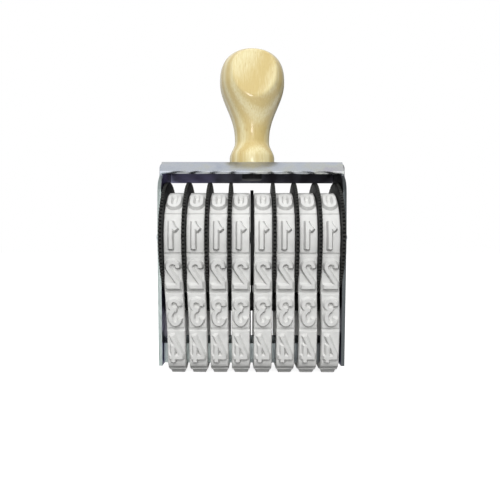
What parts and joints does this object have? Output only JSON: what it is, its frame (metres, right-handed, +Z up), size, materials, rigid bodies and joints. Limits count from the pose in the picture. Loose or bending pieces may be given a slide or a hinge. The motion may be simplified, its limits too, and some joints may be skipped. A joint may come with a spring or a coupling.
{
  "type": "numbering stamp",
  "caption": "Hand stamp for numbers: a turned wooden handle on a bent metal frame, with toothed thumb wheels that turn rubber bands of raised digits round a saddle.",
  "frame": {"origin": "middle of the printing face, on the faces of the lowest digits, under the axle", "axes": "+X along the axle to the reader's right, -Y towards the reader, +Z up through the handle"},
  "size_m": [0.0692, 0.04, 0.115],
  "materials": {
    "zinc_plate": "bright zinc plating with a blue passivation",
    "steel": "drawn steel",
    "black_plastic": "moulded",
    "lacquered_wood": "clear lacquer on turned beech",
    "grey_rubber": "moulded, dusted"
  },
  "bodies": {
    "stamp": {"frame": "zinc_plate", "saddle": "zinc_plate", "axle": "steel", "axle_caps": "zinc_plate", "end_washers": "zinc_plate", "tie_rod": "steel", "spacer_tube": "black_plastic", "divider_disc": "black_plastic", "handle": "lacquered_wood", "handle_screw": "steel", "handle_washer": "zinc_plate", "band_1": "grey_rubber", "band_2": "grey_rubber", "band_3": "grey_rubber", "band_4": "grey_rubber", "band_5": "grey_rubber", "band_6": "grey_rubber", "band_7": "grey_rubber", "band_8": "grey_rubber"},
    "thumb_1": {"wheel_1": "black_plastic"},
    "thumb_2": {"wheel_2": "black_plastic"},
    "thumb_3": {"wheel_3": "black_plastic"},
    "thumb_4": {"wheel_4": "black_plastic"},
    "thumb_5": {"wheel_5": "black_plastic"},
    "thumb_6": {"wheel_6": "black_plastic"},
    "thumb_7": {"wheel_7": "black_plastic"},
    "thumb_8": {"wheel_8": "black_plastic"}
  },
  "joints": [
    {"name": "turn_1", "type": "hinge", "parent": "stamp", "child": "thumb_1", "pos_m": [-0.02625, 0, 0.0476], "axis": [1, 0, 0], "continuous": true},
    {"name": "turn_2", "type": "hinge", "parent": "stamp", "child": "thumb_2", "pos_m": [-0.01875, 0, 0.0476], "axis": [1, 0, 0], "continuous": true},
    {"name": "turn_3", "type": "hinge", "parent": "stamp", "child": "thumb_3", "pos_m": [-0.01125, 0, 0.0476], "axis": [1, 0, 0], "continuous": true},
    {"name": "turn_4", "type": "hinge", "parent": "stamp", "child": "thumb_4", "pos_m": [-0.00375, 0, 0.0476], "axis": [1, 0, 0], "continuous": true},
    {"name": "turn_5", "type": "hinge", "parent": "stamp", "child": "thumb_5", "pos_m": [0.00375, 0, 0.0476], "axis": [1, 0, 0], "continuous": true},
    {"name": "turn_6", "type": "hinge", "parent": "stamp", "child": "thumb_6", "pos_m": [0.01125, 0, 0.0476], "axis": [1, 0, 0], "continuous": true},
    {"name": "turn_7", "type": "hinge", "parent": "stamp", "child": "thumb_7", "pos_m": [0.01875, 0, 0.0476], "axis": [1, 0, 0], "continuous": true},
    {"name": "turn_8", "type": "hinge", "parent": "stamp", "child": "thumb_8", "pos_m": [0.02625, 0, 0.0476], "axis": [1, 0, 0], "continuous": true}
  ]
}
